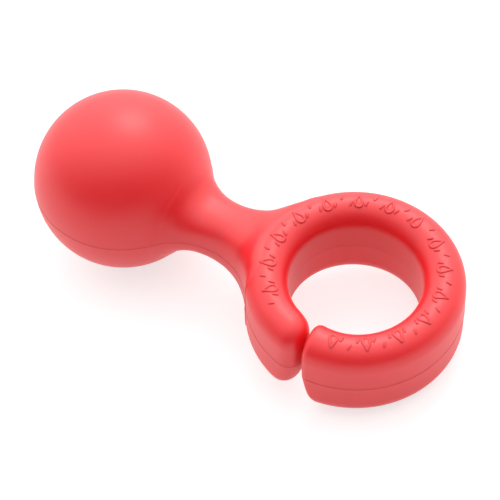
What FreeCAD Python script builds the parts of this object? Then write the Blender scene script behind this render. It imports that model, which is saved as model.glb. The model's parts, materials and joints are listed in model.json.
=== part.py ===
import FreeCAD, Part
import math
import os

import Sketcher
from FreeCAD import Vector

# Umbrella hanger: a soft split ring that snaps round an umbrella's shaft, joined by a bending neck
# to a weighted ball that lies on a table top or hooks behind a rail.
#
# Frame, in millimetres: +Z is the ring's bore and the way the umbrella's shaft runs, +X goes from
# the ball to the ring, the mouth of the ring opens towards -Y, and the origin is the centre of the
# bore on the parting plane (z = 0) of the two moulded cover halves.
#
# The cover is one soft moulding in two halves, bonded at the parting plane over a steel ballast
# ball and a C-shaped spring strip. It bends at four places: twice round the ring, so that the
# mouth opens, and twice along the neck, sideways and up or down. Each half is cut into pieces at
# those places, so that each rigid length and each bending length is a solid of its own.
# Angles are in degrees round the bore, counted from +X towards +Y.

SIZES = [
    ("ball_radius", 18.0, "outside of the ball"),
    ("neck_length", 15.6, "from the ring's outer wall to the ball's surface"),
    ("bore_radius", 13.0, "inner wall of the ring"),
    ("wall_width", 8.4, "radial thickness of the ring"),
    ("ring_height", 18.4, "height of the ring, crest to crest"),
    ("mouth_gap", 0.8, "slit between the two jaw tips"),
    ("tip_round", 2.6, "rounding of the edges of each jaw tip"),
    ("waist_width", 11.2, "least width of the neck seen from above"),
    ("waist_height", 11.6, "least height of the neck"),
    ("flare_radius", 9.2, "hollow arc between neck and ball seen from the side"),
    ("shoulder_height", 17.6, "height of the neck where it enters the ring"),
    ("ball_end_power", 2.0, "squareness of the neck's section at the ball, 2 is an ellipse"),
    ("ring_end_power", 3.6, "squareness of the neck's section at the ring"),
    ("root_length", 1.6, "rigid stub of the neck on the ring"),
    ("sway_length", 4.8, "length of the neck that bends sideways"),
    ("link_length", 2.4, "stiff middle of the neck"),
    ("front_bend_start_angle", 20.0, "first angle of the bending front of the ring"),
    ("front_bend_sweep_angle", 30.0, "its sweep"),
    ("back_bend_start_angle", 95.0, "first angle of the bending back of the ring"),
    ("back_bend_sweep_angle", 30.0, "its sweep"),
    ("ballast_radius", 11.0, "steel ball inside the ball"),
    ("ballast_clearance", 0.1, "between the steel ball and its cavity"),
    ("peg_radius", 1.5, "locating pegs on the ball's lower half"),
    ("peg_height", 2.4, "length of a peg above the parting plane"),
    ("peg_clearance", 0.05, "round and above each peg in its socket"),
    ("spring_thickness", 0.6, "spring strip"),
    ("spring_width", 10.0, "width of the strip, along the bore"),
    ("spring_setback_angle", 14.0, "angle from the mouth to each end of the strip"),
    ("eye_radius", 1.1, "rolled eye at each end of the strip"),
    ("spring_clearance", 0.1, "between the strip and its slot"),
]

PEG_COUNT = 3
MOUTH_ANGLE = 270
NECK_STATIONS = 11
SECTION_POINTS = 24
NECK_BITE = 0.15  # how far the neck's ends sink into the ball and the ring
TIP_WALL_SHARE = 0.45  # a tip's rounding takes at most this share of the wall's width
ON_PLANE = 1e-4  # a point nearer than this to a plane lies on it

doc = FreeCAD.newDocument("UmbrellaHanger")
sheet = doc.addObject("Spreadsheet::Sheet", "Sizes")
for row, (alias, value, note) in enumerate(SIZES, start=1):
    sheet.set(f"A{row}", alias)
    sheet.set(f"B{row}", str(value))
    sheet.set(f"C{row}", note)
    sheet.setAlias(f"B{row}", alias)
doc.recompute()


def size(alias):
    """A driving size, as a plain number."""
    return float(sheet.get(alias))


# Places that several pieces share, as expressions on the sizes.
RING_MIDDLE = "(Sizes.bore_radius + Sizes.wall_width / 2)"
RING_OUTER = "(Sizes.bore_radius + Sizes.wall_width)"
BALL_END_X = f"(-{RING_OUTER} - Sizes.neck_length)"
BALL_X = f"({BALL_END_X} - Sizes.ball_radius)"
ROOT_END_X = f"(-{RING_OUTER} - Sizes.root_length)"
SWAY_END_X = f"({ROOT_END_X} - Sizes.sway_length)"
LINK_END_X = f"({SWAY_END_X} - Sizes.link_length)"
BALL_FAR_X = f"({BALL_X} - Sizes.ball_radius)"
EYE_CENTRE = f"({RING_MIDDLE} + Sizes.eye_radius - Sizes.spring_thickness / 2)"
HALF_GAP_ANGLE = f"(90 / pi * Sizes.mouth_gap / {RING_MIDDLE})"
FRONT_BEND_START = "Sizes.front_bend_start_angle"
FRONT_BEND_END = f"({FRONT_BEND_START} + Sizes.front_bend_sweep_angle)"
BACK_BEND_START = "Sizes.back_bend_start_angle"
BACK_BEND_END = f"({BACK_BEND_START} + Sizes.back_bend_sweep_angle)"
JAW_TIP = f"({MOUTH_ANGLE} - 360 + {HALF_GAP_ANGLE})"
BASE_TIP = f"({MOUTH_ANGLE} - {HALF_GAP_ANGLE})"
JAW_EYE = f"({MOUTH_ANGLE} - 360 + Sizes.spring_setback_angle)"
BASE_EYE = f"({MOUTH_ANGLE} - Sizes.spring_setback_angle)"


def bind(target, **expressions):
    """Bind properties to expressions on the sizes; a double underscore stands for a dot."""
    for name, expression in expressions.items():
        target.setExpression(name.replace("__", "."), expression)


def new_object(kind, name, **expressions):
    """A document object, labelled with its name and bound to the sizes."""
    item = doc.addObject(kind, name)
    item.Label = name
    bind(item, **expressions)
    return item


def cut(name, base, tool):
    """One solid less another."""
    item = new_object("Part::Cut", name)
    item.Base = base
    item.Tool = tool
    return item


def fuse(name, base, tool):
    """Two solids joined into one."""
    item = new_object("Part::Fuse", name)
    item.Base = base
    item.Tool = tool
    item.Refine = True
    return item


def below(name, upper):
    """The lower half that mirrors an upper half in the parting plane."""
    item = new_object("Part::Mirroring", name)
    item.Source = upper
    item.Normal = Vector(0, 0, 1)
    return item


def new_sketch(body, name, plane_role):
    """A sketch on one of the body's own origin planes."""
    sketch = body.newObject("Sketcher::SketchObject", name)
    plane = next(item for item in body.Origin.OriginFeatures if item.Role == plane_role)
    sketch.AttachmentSupport = [(plane, "")]
    sketch.MapMode = "FlatFace"
    return sketch


def dimension(sketch, expression, kind, *where):
    """A driving dimension of a sketch, bound to the sizes."""
    start_value = float(sketch.evalExpression(expression))
    index = sketch.addConstraint(Sketcher.Constraint(kind, *where, start_value))
    sketch.setExpression(f"Constraints[{index}]", expression)


def relate(sketch, *relations):
    """Geometric relations of a sketch, each a kind and the places that it ties."""
    sketch.addConstraint([Sketcher.Constraint(*relation) for relation in relations])


def sweep_about_bore(body, sketch, first, last):
    """Turn a sketch of the ring's section through the angles from first to last."""
    sweep = body.newObject("PartDesign::Revolution", f"{body.Name}_sweep")
    sweep.Profile = sketch
    sweep.ReferenceAxis = (sketch, ["V_Axis"])
    sweep.Midplane = True
    bind(sweep, Angle=f"{last} - {first}")
    bind(body, Placement__Rotation__Angle=f"({last} + {first}) / 2")
    return sweep


def cover_section(body):
    """The upper half of the ring's section: straight walls under a full round crest."""
    sketch = new_sketch(body, f"{body.Name}_section", "XZ_Plane")
    inner = size("bore_radius")
    half_wall = size("wall_width") / 2
    shoulder = size("ring_height") / 2 - half_wall
    outer = inner + 2 * half_wall
    crest = Part.Circle(Vector(inner + half_wall, shoulder, 0), Vector(0, 0, 1), half_wall)
    floor = sketch.addGeometry(Part.LineSegment(Vector(inner, 0, 0), Vector(outer, 0, 0)))
    outside = sketch.addGeometry(Part.LineSegment(Vector(outer, 0, 0), Vector(outer, shoulder, 0)))
    top = sketch.addGeometry(Part.ArcOfCircle(crest, 0, math.pi))
    inside = sketch.addGeometry(Part.LineSegment(Vector(inner, shoulder, 0), Vector(inner, 0, 0)))
    relate(
        sketch,
        ("Coincident", floor, 2, outside, 1),
        ("Tangent", outside, 2, top, 1),
        ("Tangent", top, 2, inside, 1),
        ("Coincident", inside, 2, floor, 1),
        ("PointOnObject", floor, 1, -1),
        ("Horizontal", floor),
        ("Vertical", outside),
        ("Vertical", inside),
    )
    dimension(sketch, "Sizes.bore_radius", "DistanceX", -1, 1, floor, 1)
    dimension(sketch, "Sizes.wall_width", "DistanceX", floor, 1, floor, 2)
    rise = "(Sizes.ring_height - Sizes.wall_width) / 2"
    dimension(sketch, rise, "DistanceY", -1, 1, top, 3)
    return sketch


def strip_section(body, clearance):
    """The strip's section, a rectangle across the parting plane, grown by a clearance."""
    sketch = new_sketch(body, f"{body.Name}_section", "XZ_Plane")
    inner = f"({RING_MIDDLE} - Sizes.spring_thickness / 2 - {clearance})"
    rise = f"(Sizes.spring_width / 2 + {clearance})"
    width = f"(Sizes.spring_thickness + 2 * {clearance})"
    low_x = float(sketch.evalExpression(inner))
    high_x = low_x + float(sketch.evalExpression(width))
    high_y = float(sketch.evalExpression(rise))
    corners = [
        Vector(low_x, -high_y, 0),
        Vector(high_x, -high_y, 0),
        Vector(high_x, high_y, 0),
        Vector(low_x, high_y, 0),
    ]
    sides = [
        sketch.addGeometry(Part.LineSegment(corner, corners[(index + 1) % 4]))
        for index, corner in enumerate(corners)
    ]
    relate(
        sketch,
        *[("Coincident", side, 2, sides[(index + 1) % 4], 1) for index, side in enumerate(sides)],
        *[("Horizontal", side) for side in sides[0::2]],
        *[("Vertical", side) for side in sides[1::2]],
    )
    dimension(sketch, inner, "DistanceX", -1, 1, sides[0], 1)
    dimension(sketch, width, "DistanceX", sides[0], 1, sides[0], 2)
    dimension(sketch, rise, "DistanceY", -1, 1, sides[1], 2)
    dimension(sketch, f"2 * {rise}", "DistanceY", sides[1], 1, sides[1], 2)
    return sketch


def tip_edges(shape, tip_angle):
    """Names of the outline edges of the end face at an angle, without the parting plane's."""
    across = Vector(-math.sin(tip_angle), math.cos(tip_angle), 0)
    names = []
    for number, edge in enumerate(shape.Edges, start=1):
        points = edge.discretize(3)
        on_tip = all(abs(point.dot(across)) < ON_PLANE and point.x > 0 for point in points)
        if on_tip and points[1].z > ON_PLANE:
            names.append(f"Edge{number}")
    return names


def ring_cover(name, first, last, tip_side=0):
    """A length of the ring's upper half, its tip rounded at one end where it has one.

    tip_side is 1 for a tip at the last angle, -1 for one at the first and 0 for none.
    """
    body = new_object("PartDesign::Body", name)
    sweep = sweep_about_bore(body, cover_section(body), first, last)
    doc.recompute()
    if tip_side:
        half_sweep = math.radians(float(sweep.Angle)) / 2
        rounding = body.newObject("PartDesign::Fillet", f"{name}_tip")
        rounding.Base = (sweep, tip_edges(sweep.Shape, tip_side * half_sweep))
        bind(rounding, Radius=f"min(Sizes.tip_round; {TIP_WALL_SHARE} * Sizes.wall_width)")
        doc.recompute()
    return body


def strip(name, first, last, clearance="0"):
    """A length of the spring strip, or of its slot where there is a clearance."""
    body = new_object("PartDesign::Body", name)
    sweep_about_bore(body, strip_section(body, clearance), first, last)
    return body


def upright_cylinder(name, radius, height, centre_x, centre_y, low_z):
    """A cylinder along the bore, all of it bound to the sizes."""
    return new_object(
        "Part::Cylinder",
        name,
        Radius=radius,
        Height=height,
        Placement__Base__x=centre_x,
        Placement__Base__y=centre_y,
        Placement__Base__z=low_z,
    )


def eye_cylinder(name, angle, radius, clearance="0"):
    """A cylinder on the axis of the eye at an angle round the bore."""
    half_height = f"(Sizes.spring_width / 2 + {clearance})"
    centre = (f"{EYE_CENTRE} * cos({angle})", f"{EYE_CENTRE} * sin({angle})")
    return upright_cylinder(name, radius, f"2 * {half_height}", *centre, f"-{half_height}")


def strip_with_eye(name, first, last, eye_angle):
    """A length of the strip that ends in a rolled eye."""
    roll = eye_cylinder(f"{name}_roll", eye_angle, "Sizes.eye_radius")
    core = "Sizes.eye_radius - Sizes.spring_thickness"
    hole = eye_cylinder(f"{name}_hole", eye_angle, core)
    eye = cut(f"{name}_eye", roll, hole)
    return fuse(name, strip(f"{name}_strip", first, last), eye)


def spring_slot():
    """The space that both halves leave for the strip and its two eyes."""
    clearance = "Sizes.spring_clearance"
    slot = strip("slot_strip", JAW_EYE, BASE_EYE, clearance)
    for name, angle in (("jaw", JAW_EYE), ("base", BASE_EYE)):
        radius = f"Sizes.eye_radius + {clearance}"
        room = eye_cylinder(f"slot_{name}_eye", angle, radius, clearance)
        slot = fuse(f"slot_with_{name}_eye", slot, room)
    return slot


def neck_section(x, half_width, half_height, power):
    """A closed curve across the neck, between an ellipse and a rectangle."""
    points = []
    for step in range(SECTION_POINTS):
        turn = 2 * math.pi * step / SECTION_POINTS
        across, upward = math.cos(turn), math.sin(turn)
        y = half_width * math.copysign(abs(across) ** (2 / power), across)
        z = half_height * math.copysign(abs(upward) ** (2 / power), upward)
        points.append(Vector(x, y, z))
    curve = Part.BSplineCurve()
    curve.interpolate(Points=points, PeriodicFlag=True)
    return Part.Wire(curve.toShape())


def neck_solid():
    """The neck from inside the ball to inside the ring's wall.

    From above, each side is one hollow arc that touches the ball's circle and the ring's, so its
    radius follows from those and from the waist. From the side, the top is an arc that touches
    the ball, and from its lowest point a parabola rises to the ring's crest.
    """
    ball = size("ball_radius") - NECK_BITE
    ring = size("bore_radius") + size("wall_width") - NECK_BITE
    ring_middle = size("bore_radius") + size("wall_width") / 2
    distance = size("ball_radius") + size("neck_length") + ring + NECK_BITE
    waist = size("waist_width") / 2
    low = size("waist_height") / 2
    high = size("shoulder_height") / 2
    flare = size("flare_radius")

    # The side arc's centre lies ball + radius from the ball and ring + radius from the ring.
    ball_term = ball**2 - waist**2
    ring_term = ring**2 - waist**2
    slope = (ball - waist) / (ring - waist) - 1
    offset = ball_term - ring_term * (1 + slope) - distance**2
    side_x = offset / (distance + math.sqrt(distance**2 - slope * offset))
    side_radius = (side_x**2 - ring_term) / (2 * (ring - waist))
    side_y = waist + side_radius
    first_x = -distance + (side_x + distance) * ball / (ball + side_radius)
    last_x = side_x * ring / (ring + side_radius)

    # The flare's centre stands over the neck's lowest point.
    flare_z = low + flare
    flare_x = -distance + math.sqrt((ball + flare) ** 2 - flare_z**2)
    touch_x = -distance + (flare_x + distance) * ball / (ball + flare)

    sections = []
    for station in range(NECK_STATIONS):
        share = station / (NECK_STATIONS - 1)
        x = first_x + (last_x - first_x) * share
        half_width = side_y - math.sqrt(side_radius**2 - (x - side_x) ** 2)
        if x < touch_x:
            half_height = math.sqrt(ball**2 - (x + distance) ** 2)
        elif x < flare_x:
            half_height = flare_z - math.sqrt(flare**2 - (x - flare_x) ** 2)
        else:
            rise = (x - flare_x) / (-ring_middle - flare_x)
            half_height = low + (high - low) * rise**2
        power = size("ball_end_power") * (1 - share) + size("ring_end_power") * share
        sections.append(neck_section(x, half_width, half_height, power))
    return Part.makeLoft(sections, True, False)


def neck_slice(name, neck, low_x, high_x):
    """The upper half of the neck between two planes across it."""
    box = new_object(
        "Part::Box",
        f"{name}_box",
        Length=f"{high_x} - {low_x}",
        Width="2 * Sizes.ball_radius",
        Height="Sizes.ball_radius",
        Placement__Base__x=low_x,
        Placement__Base__y="-Sizes.ball_radius",
    )
    item = new_object("Part::Common", name)
    item.Base = neck
    item.Tool = box
    return item


def ball_half(name, side):
    """Half of the ball with its share of the ballast's cavity; side is 1 above, -1 below."""
    body = new_object("PartDesign::Body", name, Placement__Base__x=BALL_X)
    sketch = new_sketch(body, f"{name}_section", "XZ_Plane")
    outer = size("ball_radius")
    inner = size("ballast_radius") + size("ballast_clearance")
    first, last = sorted((0, side * math.pi / 2))
    arcs = [
        sketch.addGeometry(
            Part.ArcOfCircle(Part.Circle(Vector(0, 0, 0), Vector(0, 0, 1), radius), first, last)
        )
        for radius in (outer, inner)
    ]
    flat_end, pole_end = (1, 2) if side > 0 else (2, 1)
    flat = sketch.addGeometry(Part.LineSegment(Vector(inner, 0, 0), Vector(outer, 0, 0)))
    pole = sketch.addGeometry(
        Part.LineSegment(Vector(0, side * inner, 0), Vector(0, side * outer, 0))
    )
    relate(
        sketch,
        *[("Coincident", arc, 3, -1, 1) for arc in arcs],
        ("Coincident", flat, 1, arcs[1], flat_end),
        ("Coincident", flat, 2, arcs[0], flat_end),
        ("Coincident", pole, 1, arcs[1], pole_end),
        ("Coincident", pole, 2, arcs[0], pole_end),
        *[("PointOnObject", arc, flat_end, -1) for arc in arcs],
        *[("PointOnObject", arc, pole_end, -2) for arc in arcs],
    )
    dimension(sketch, "Sizes.ball_radius", "Radius", arcs[0])
    dimension(sketch, "Sizes.ballast_radius + Sizes.ballast_clearance", "Radius", arcs[1])
    shell = body.newObject("PartDesign::Revolution", f"{name}_shell")
    shell.Profile = sketch
    shell.ReferenceAxis = (sketch, ["V_Axis"])
    shell.Angle = 360
    return body


def peg_ring(body, kind, radius, length):
    """Pegs padded up from the parting plane, or sockets pocketed up into it, round the ball."""
    name = f"{body.Name}_{kind.lower()}"
    sketch = new_sketch(body, f"{name}_circle", "XY_Plane")
    middle = "-(Sizes.ball_radius + Sizes.ballast_radius + Sizes.ballast_clearance) / 2"
    place = float(sketch.evalExpression(middle))
    circle = Part.Circle(Vector(place, 0, 0), Vector(0, 0, 1), size("peg_radius"))
    index = sketch.addGeometry(circle)
    relate(sketch, ("PointOnObject", index, 3, -1))
    dimension(sketch, middle, "DistanceX", -1, 1, index, 3)
    dimension(sketch, radius, "Radius", index)
    feature = body.newObject(f"PartDesign::{kind}", name)
    feature.Profile = sketch
    feature.Reversed = kind == "Pocket"
    bind(feature, Length=length)
    doc.recompute()
    pattern = body.newObject("PartDesign::PolarPattern", f"{name}_pattern")
    pattern.Originals = [feature]
    pattern.Axis = (sketch, ["N_Axis"])
    pattern.Angle = 360
    pattern.Occurrences = PEG_COUNT
    body.Tip = pattern
    doc.recompute()
    return body


pieces = []

# The ring's cover. The base carries the neck's root, and its mirror image is the lower half.
neck = doc.addObject("Part::Feature", "neck_form")
neck.Shape = neck_solid()
slot = spring_slot()

base_sector = ring_cover("base_sector", BACK_BEND_END, BASE_TIP, tip_side=1)
root = neck_slice("neck_root", neck, ROOT_END_X, "0")
ring_forms = {
    "ring_base": fuse("base_with_root", base_sector, root),
    "ring_back_bend": ring_cover("back_bend_sector", BACK_BEND_START, BACK_BEND_END),
    "ring_arm": ring_cover("arm_sector", FRONT_BEND_END, BACK_BEND_START),
    "ring_front_bend": ring_cover("front_bend_sector", FRONT_BEND_START, FRONT_BEND_END),
    "ring_jaw": ring_cover("jaw_sector", JAW_TIP, FRONT_BEND_START, tip_side=-1),
}
for name, form in ring_forms.items():
    upper = cut(f"{name}_upper", form, slot)
    pieces += [upper, below(f"{name}_lower", upper)]

# The spring strip, in the same five lengths.
pieces += [
    strip_with_eye("spring_base", BACK_BEND_END, BASE_EYE, BASE_EYE),
    strip("spring_back_bend", BACK_BEND_START, BACK_BEND_END),
    strip("spring_arm", FRONT_BEND_END, BACK_BEND_START),
    strip("spring_front_bend", FRONT_BEND_START, FRONT_BEND_END),
    strip_with_eye("spring_jaw", JAW_EYE, FRONT_BEND_START, JAW_EYE),
]

# The neck's cover between the ring's root and the ball.
for name, low_x, high_x in (
    ("neck_sway", SWAY_END_X, ROOT_END_X),
    ("neck_link", LINK_END_X, SWAY_END_X),
    ("neck_bend", BALL_END_X, LINK_END_X),
):
    upper = neck_slice(f"{name}_upper", neck, low_x, high_x)
    pieces += [upper, below(f"{name}_lower", upper)]

# The ball: two half shells that carry the neck's flare, pegged together round the ballast.
flare_upper = neck_slice("flare_upper", neck, BALL_FAR_X, BALL_END_X)
flare_lower = below("flare_lower", flare_upper)
socketed = peg_ring(
    ball_half("ball_shell_upper", 1),
    "Pocket",
    "Sizes.peg_radius + Sizes.peg_clearance",
    "Sizes.peg_height + Sizes.peg_clearance",
)
pegged = peg_ring(ball_half("ball_shell_lower", -1), "Pad", "Sizes.peg_radius", "Sizes.peg_height")
pieces += [
    fuse("ball_upper", socketed, flare_upper),
    fuse("ball_lower", pegged, flare_lower),
    new_object(
        "Part::Sphere", "ballast", Radius="Sizes.ballast_radius", Placement__Base__x=BALL_X
    ),
]

doc.recompute()
for item in doc.Objects:
    if {"Invalid", "Error"} & set(item.State):
        raise RuntimeError(f"{item.Label} failed: {item.State}")
for piece in pieces:
    if piece.Shape.isNull() or not piece.Shape.isValid():
        raise RuntimeError(f"{piece.Label} has no valid shape")
    if len(piece.Shape.Solids) != 1:
        raise RuntimeError(f"{piece.Label} is {len(piece.Shape.Solids)} solids")

os.makedirs("parts", exist_ok=True)
for piece in pieces:
    piece.Shape.exportStep(f"parts/{piece.Label}.step")
    print(f"{piece.Label}: {piece.Shape.Volume:.1f} mm3")
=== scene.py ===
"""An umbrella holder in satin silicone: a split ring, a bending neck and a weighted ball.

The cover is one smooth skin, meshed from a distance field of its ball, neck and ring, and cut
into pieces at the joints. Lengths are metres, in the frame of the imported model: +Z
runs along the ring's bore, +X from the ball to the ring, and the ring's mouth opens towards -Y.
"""

import json
import logging
import math
from dataclasses import dataclass, field
from enum import Enum

import bmesh
import bpy
import numpy as np
from bmesh.types import BMesh, BMVert
from bpy.types import Material, Mesh, NodeSocket, Object, World
from mathutils import Matrix, Vector
from numpy import ndarray as Array


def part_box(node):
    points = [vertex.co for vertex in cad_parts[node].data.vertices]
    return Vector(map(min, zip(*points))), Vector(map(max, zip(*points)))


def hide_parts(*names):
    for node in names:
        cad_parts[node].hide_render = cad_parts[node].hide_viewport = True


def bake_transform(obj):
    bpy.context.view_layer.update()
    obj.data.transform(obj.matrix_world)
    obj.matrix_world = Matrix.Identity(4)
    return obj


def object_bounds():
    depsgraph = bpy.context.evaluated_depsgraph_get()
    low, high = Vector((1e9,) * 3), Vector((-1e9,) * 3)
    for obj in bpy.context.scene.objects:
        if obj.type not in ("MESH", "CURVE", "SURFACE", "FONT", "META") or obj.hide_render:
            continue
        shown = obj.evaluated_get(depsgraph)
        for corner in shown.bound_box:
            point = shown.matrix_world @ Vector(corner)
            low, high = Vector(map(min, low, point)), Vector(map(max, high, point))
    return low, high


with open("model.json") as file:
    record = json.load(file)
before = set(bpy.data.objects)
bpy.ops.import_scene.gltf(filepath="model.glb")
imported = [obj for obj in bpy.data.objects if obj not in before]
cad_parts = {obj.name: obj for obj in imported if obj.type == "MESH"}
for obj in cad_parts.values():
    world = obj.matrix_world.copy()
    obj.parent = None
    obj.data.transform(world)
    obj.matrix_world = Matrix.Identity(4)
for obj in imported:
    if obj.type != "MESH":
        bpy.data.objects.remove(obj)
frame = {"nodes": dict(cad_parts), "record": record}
cad_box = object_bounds()

log = logging.getLogger("umbrella_holder")
MM = 0.001
TINY = 1e-9
Point = tuple[float, float, float]
Colour = tuple[float, float, float]
Span = tuple[float, float]


# Shader nodes


class Socket:
    """An output of a node, on which Python's operators add Math or Vector Math nodes."""

    def __init__(self, maker: "NodeMaker", socket: NodeSocket) -> None:
        """Wrap an output socket."""
        self.maker = maker
        self.socket = socket

    def combine(
        self, operation: str, other: "Socket | float | Point", swap: bool = False
    ) -> "Socket":
        """Add the node that combines this socket with another value.

        Args:
            operation: The Math operation's name, which Vector Math shares.
            other: The other socket, number or vector.
            swap: Whether the other value comes first.

        Returns:
            The result's socket.
        """
        pair = (other, self) if swap else (self, other)
        kind = "ShaderNodeVectorMath" if self.socket.type == "VECTOR" else "ShaderNodeMath"
        return self.maker.add(kind, {"operation": operation}, dict(enumerate(pair)))

    def __add__(self, other: "Socket | float | Point") -> "Socket":
        """Add a value."""
        return self.combine("ADD", other)

    def __radd__(self, other: float | Point) -> "Socket":
        """Add to a plain value."""
        return self.combine("ADD", other, swap=True)

    def __rsub__(self, other: float | Point) -> "Socket":
        """Take away from a plain value."""
        return self.combine("SUBTRACT", other, swap=True)

    def __mul__(self, other: "Socket | float | Point") -> "Socket":
        """Multiply by a value."""
        return self.combine("MULTIPLY", other)

    def __rmul__(self, other: float | Point) -> "Socket":
        """Multiply a plain value."""
        return self.combine("MULTIPLY", other, swap=True)


class NodeMaker:
    """Adds nodes to the tree of one material or world."""

    def __init__(self, owner: Material | World) -> None:
        """Start with an empty tree.

        Args:
            owner: The material or world.
        """
        owner.use_nodes = True
        self.tree = owner.node_tree
        self.tree.nodes.clear()

    def add(
        self,
        kind: str,
        settings: dict | None = None,
        inputs: dict | None = None,
        output: int | str = 0,
    ) -> Socket | None:
        """Add one node.

        Args:
            kind: The node's type.
            settings: Its properties, which are set first.
            inputs: Values, or sockets to link, by input name or number.
            output: The output to return.

        Returns:
            The chosen output, or nothing from a node that has none.
        """
        node = self.tree.nodes.new(kind)
        for name, value in (settings or {}).items():
            setattr(node, name, value)
        for name, value in (inputs or {}).items():
            if isinstance(value, Socket):
                self.tree.links.new(value.socket, node.inputs[name])
            else:
                node.inputs[name].default_value = value
        return Socket(self, node.outputs[output]) if node.outputs else None

    def place(self) -> Socket:
        """The shaded point in the model's own frame."""
        return self.add("ShaderNodeTexCoord", output="Object")

    def noise(self, place: Socket, scale: float, detail: int = 2, rough: float = 0.5) -> Socket:
        """Smooth noise, from 0 to 1, with `scale` features to the metre."""
        inputs = {"Vector": place, "Scale": scale, "Detail": detail, "Roughness": rough}
        return self.add("ShaderNodeTexNoise", inputs=inputs)

    def bump(
        self, height: Socket, depth: float, strength: float, under: Socket | None = None
    ) -> Socket:
        """Turn a height into a bumped normal.

        Args:
            height: The height, from 0 to 1.
            depth: The metres that a height of 1 stands for.
            strength: The share of the bump that is kept.
            under: A bumped normal that this one is added to.

        Returns:
            The normal.
        """
        inputs = {"Height": height, "Distance": depth, "Strength": strength}
        if under:
            inputs["Normal"] = under
        return self.add("ShaderNodeBump", inputs=inputs)

    def ramp(self, value: Socket, across: Span, levels: Span = (0, 1)) -> Socket:
        """Rise smoothly from one level to another.

        Args:
            value: What the level depends on.
            across: The values at which the rise starts and ends.
            levels: The levels there.

        Returns:
            The level.
        """
        ends = zip(("From Min", "From Max", "To Min", "To Max"), (*across, *levels))
        smooth = {"interpolation_type": "SMOOTHSTEP"}
        return self.add("ShaderNodeMapRange", smooth, {"Value": value, **dict(ends)})

    def mix_colours(self, share: Socket, first: Colour, second: Colour) -> Socket:
        """A colour that runs from the first to the second as the share rises from 0 to 1."""
        # A Mix node keeps its colours in inputs 6 and 7 and in output 2.
        inputs = {0: share, 6: (*first, 1), 7: (*second, 1)}
        return self.add("ShaderNodeMix", {"data_type": "RGBA"}, inputs, 2)

    def mix_shaders(self, share: Socket, first: Socket, second: Socket) -> Socket:
        """A shader that runs from the first to the second as the share rises from 0 to 1."""
        return self.add("ShaderNodeMixShader", inputs={0: share, 1: first, 2: second})


# Finishes


@dataclass(frozen=True)
class Silicone:
    """Satin silicone rubber, moulded in one colour through and through."""

    name: str = "satin_silicone"
    deep: Colour = (0.780, 0.003, 0.008)
    pale: Colour = (0.820, 0.006, 0.013)
    least_rough: float = 0.39
    most_rough: float = 0.47
    grain_share: float = 0.3
    clouds_per_metre: float = 90
    waves_per_metre: float = 160
    grains_per_metre: float = 2600
    wave_depth: float = 0.05 * MM
    grain_depth: float = 0.008 * MM
    relief_strength: float = 0.5
    specular: float = 0.8
    subsurface: float = 0.25
    bleed: float = 2.2 * MM
    bleed_by_colour: Colour = (1.0, 0.22, 0.18)
    index: float = 1.5
    sheen: float = 0.02
    sheen_rough: float = 0.45

    def build(self) -> Material:
        """Make the material, with clouded colour, a fine satin grain and faint moulding waves.

        Returns:
            The material.
        """
        material = bpy.data.materials.new(self.name)
        make = NodeMaker(material)
        place = make.place()
        cloud = make.noise(place, self.clouds_per_metre, detail=3)
        grain = make.noise(place, self.grains_per_metre, rough=0.6)
        wave = make.noise(place, self.waves_per_metre, detail=1)
        span = self.most_rough - self.least_rough
        uneven = (1 - self.grain_share) * cloud + self.grain_share * grain
        waved = make.bump(wave, self.wave_depth, self.relief_strength)
        shader = make.add(
            "ShaderNodeBsdfPrincipled",
            {"subsurface_method": "RANDOM_WALK"},
            {
                "Base Color": make.mix_colours(cloud, self.deep, self.pale),
                "Roughness": self.least_rough + span * uneven,
                "Normal": make.bump(grain, self.grain_depth, self.relief_strength, waved),
                "IOR": self.index,
                "Specular IOR Level": self.specular,
                "Subsurface Weight": self.subsurface,
                "Subsurface Radius": self.bleed_by_colour,
                "Subsurface Scale": self.bleed,
                "Sheen Weight": self.sheen,
                "Sheen Roughness": self.sheen_rough,
            },
        )
        make.add("ShaderNodeOutputMaterial", inputs={"Surface": shader})
        return material


@dataclass(frozen=True)
class Steel:
    """Bare steel, whose lines are drawn out along the axis that `stretch` shortens."""

    name: str
    stretch: Point
    colour: Colour = (0.56, 0.57, 0.59)
    stained: Colour = (0.4816, 0.4902, 0.5074)
    least_rough: float = 0.22
    most_rough: float = 0.38
    lines_per_metre: float = 900
    stains_per_metre: float = 260
    line_depth: float = 0.01 * MM
    line_strength: float = 0.4

    def build(self) -> Material:
        """Make the material, with fine lines along the way it was worked.

        Returns:
            The material.
        """
        material = bpy.data.materials.new(self.name)
        make = NodeMaker(material)
        drawn = make.place() * self.stretch
        line = make.noise(drawn, self.lines_per_metre, detail=4, rough=0.6)
        stain = make.noise(make.place(), self.stains_per_metre, detail=3)
        span = self.most_rough - self.least_rough
        shader = make.add(
            "ShaderNodeBsdfPrincipled",
            inputs={
                "Base Color": make.mix_colours(stain, self.stained, self.colour),
                "Metallic": 1.0,
                "Roughness": self.least_rough + span * (0.5 * line + 0.5 * stain),
                "Normal": make.bump(line, self.line_depth, self.line_strength),
            },
        )
        make.add("ShaderNodeOutputMaterial", inputs={"Surface": shader})
        return material


# The cover's form


class Half(Enum):
    """The two moulded halves of the cover, by the side of the parting plane they lie on."""

    UPPER = 1
    LOWER = -1


def smoothstep(x: Array, first: float, last: float) -> Array:
    """Rise smoothly from 0 at `first` to 1 at `last`."""
    share = np.clip((x - first) / (last - first), 0, 1)
    return share * share * (3 - 2 * share)


def smooth_union(first: Array, second: Array, width: Array | float) -> Array:
    """Join two distance fields, and round the inner corner as far as `width` from it."""
    share = np.clip(0.5 + 0.5 * (second - first) / width, 0, 1)
    return second * (1 - share) + first * share - width * share * (1 - share)


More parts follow.
